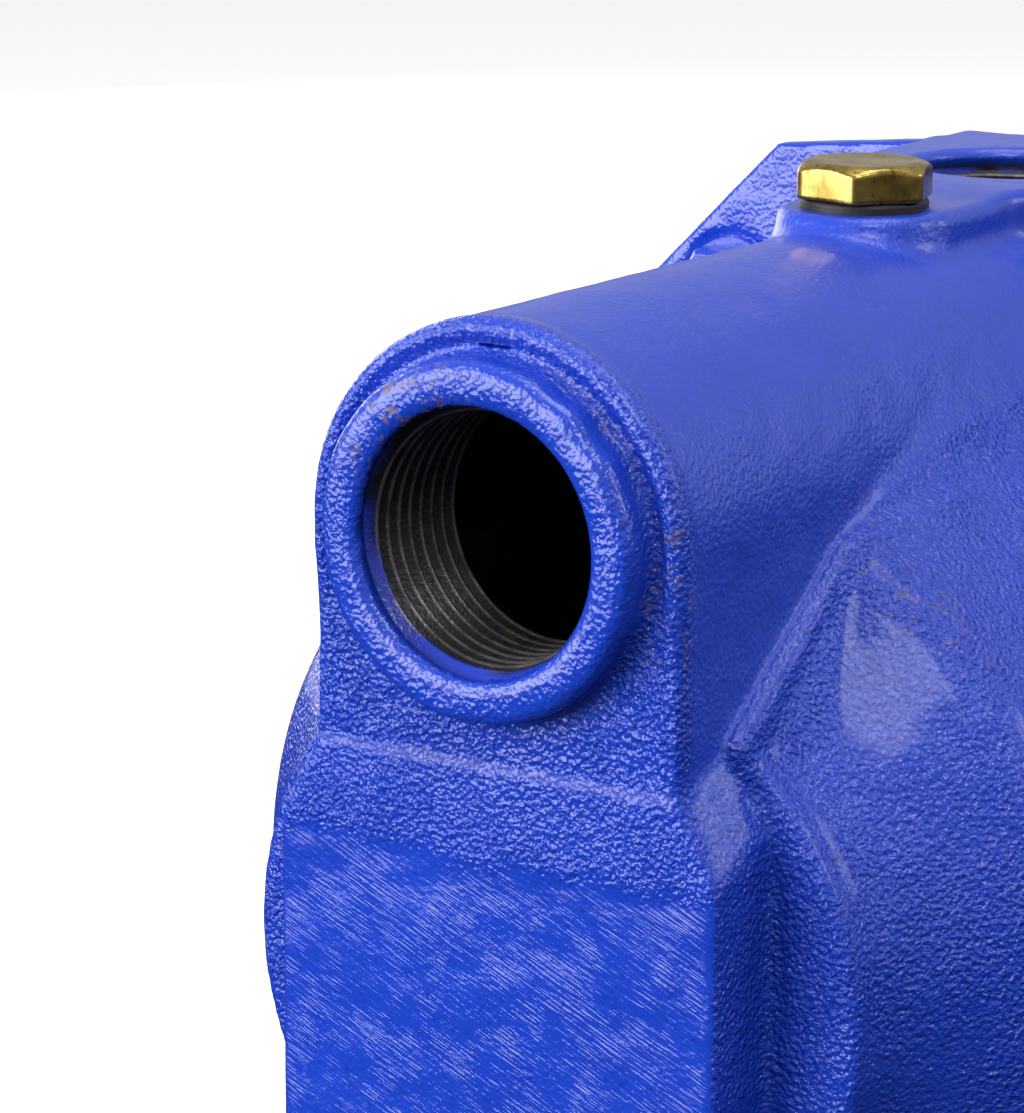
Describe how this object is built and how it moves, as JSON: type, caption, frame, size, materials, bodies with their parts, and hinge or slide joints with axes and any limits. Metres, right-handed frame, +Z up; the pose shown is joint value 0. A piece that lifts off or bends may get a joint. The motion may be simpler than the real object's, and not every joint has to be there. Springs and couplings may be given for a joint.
{
  "type": "shallow well jet pump",
  "caption": "Self-priming cast-iron jet pump with threaded suction and discharge ports, close-coupled to a fan-cooled electric motor on a bolted foot.",
  "frame": {"origin": "on the floor, at the centre of the foot's four bolt holes", "axes": "+Z up, +Y along the shaft from the suction port towards the motor's fan, +X to the right seen from the suction port"},
  "size_m": [0.1732, 0.4334, 0.2062],
  "materials": {
    "blue_cast": "glossy royal-blue paint over an as-cast surface",
    "blue_aluminium": "glossy royal-blue paint over die-cast aluminium",
    "blue_steel": "royal-blue paint over steel, put on with the pump body's",
    "brass": "dull machined brass with bright edges",
    "rubber": "black nitrile rubber",
    "filled_plastic": "dark glass-filled plastic",
    "stainless": "turned stainless steel",
    "carbon": "lapped carbon graphite",
    "ceramic": "ivory alumina ceramic",
    "zinc_steel": "zinc-plated steel",
    "lamination": "oiled electrical-steel laminations",
    "aluminium": "plain aluminium",
    "copper": "enamelled copper wire",
    "bearing_steel": "ground bearing steel",
    "black_plastic": "moulded black plastic with a fine grain",
    "white_plastic": "moulded pale plastic"
  },
  "bodies": {
    "casing": {"pump_body": "blue_cast", "motor_bracket": "blue_cast", "motor_housing": "blue_aluminium", "rear_shield": "blue_aluminium", "nozzle": "brass", "terminal_screws": "brass", "body_seal": "rubber", "diffuser_seal": "rubber", "seat_ring": "rubber", "box_gasket": "rubber", "lid_gasket": "rubber", "gland_seal": "rubber", "venturi_tube": "filled_plastic", "diffuser": "filled_plastic", "seal_seat": "ceramic", "flange_washers": "blue_steel", "flange_bolts": "blue_steel", "tie_bolts": "zinc_steel", "fan_cover_screws": "zinc_steel", "box_screws": "zinc_steel", "lid_screws": "zinc_steel", "wave_washer": "zinc_steel", "stator_core": "lamination", "capacitor": "aluminium", "nameplate": "aluminium", "nameplate_rivets": "aluminium", "windings": "copper", "front_bearing_outer": "bearing_steel", "rear_bearing_outer": "bearing_steel", "fan_cover": "black_plastic", "terminal_box": "black_plastic", "terminal_lid": "black_plastic", "terminal_block": "white_plastic", "gland_body": "black_plastic", "gland_locknut": "black_plastic", "gland_cap": "black_plastic"},
    "rotor": {"shaft": "stainless", "rotor_core": "lamination", "rotor_cage": "aluminium", "impeller": "brass", "impeller_key": "stainless", "impeller_nut": "stainless", "seal_bellows": "rubber", "seal_spring": "stainless", "seal_carbon": "carbon", "front_bearing_inner": "bearing_steel", "rear_bearing_inner": "bearing_steel", "slinger": "rubber", "cooling_fan": "black_plastic", "fan_clip": "zinc_steel"},
    "front_ball_cage": {"front_bearing_balls": "bearing_steel"},
    "rear_ball_cage": {"rear_bearing_balls": "bearing_steel"},
    "filler_seal": {"filler_seal": "rubber"},
    "filler_plug": {"filler_plug": "brass"},
    "drain_seal": {"drain_seal": "rubber"},
    "drain_plug": {"drain_plug": "brass"}
  },
  "joints": [
    {"name": "rotor_spin", "type": "hinge", "parent": "casing", "child": "rotor", "pos_m": [0, 0, 0.092], "axis": [0, 1, 0], "continuous": true},
    {"name": "front_cage_spin", "type": "hinge", "parent": "casing", "child": "front_ball_cage", "pos_m": [0, -0.0105, 0.092], "axis": [0, 1, 0], "continuous": true},
    {"name": "rear_cage_spin", "type": "hinge", "parent": "casing", "child": "rear_ball_cage", "pos_m": [0, 0.1475, 0.092], "axis": [0, 1, 0], "continuous": true},
    {"name": "filler_lift", "type": "slide", "parent": "casing", "child": "filler_seal", "axis": [0, 0, 1], "range_m": [0, 0.00802]},
    {"name": "filler_turn", "type": "hinge", "parent": "filler_seal", "child": "filler_plug", "pos_m": [0, -0.135, 0.178], "axis": [0, 0, 1], "range_deg": [0, 2160]},
    {"name": "drain_lift", "type": "slide", "parent": "casing", "child": "drain_seal", "axis": [0, -1, 0], "range_m": [0, 0.00802]},
    {"name": "drain_turn", "type": "hinge", "parent": "drain_seal", "child": "drain_plug", "pos_m": [0, -0.227, 0.059], "axis": [0, -1, 0], "range_deg": [0, 2160]}
  ],
  "couplings": [
    {"joint": "front_cage_spin", "follows": "rotor_spin", "ratio": 0.38},
    {"joint": "rear_cage_spin", "follows": "rotor_spin", "ratio": 0.38},
    {"joint": "filler_turn", "follows": "filler_lift", "rad_per_m": 4699.5},
    {"joint": "drain_turn", "follows": "drain_lift", "rad_per_m": 4699.5}
  ]
}
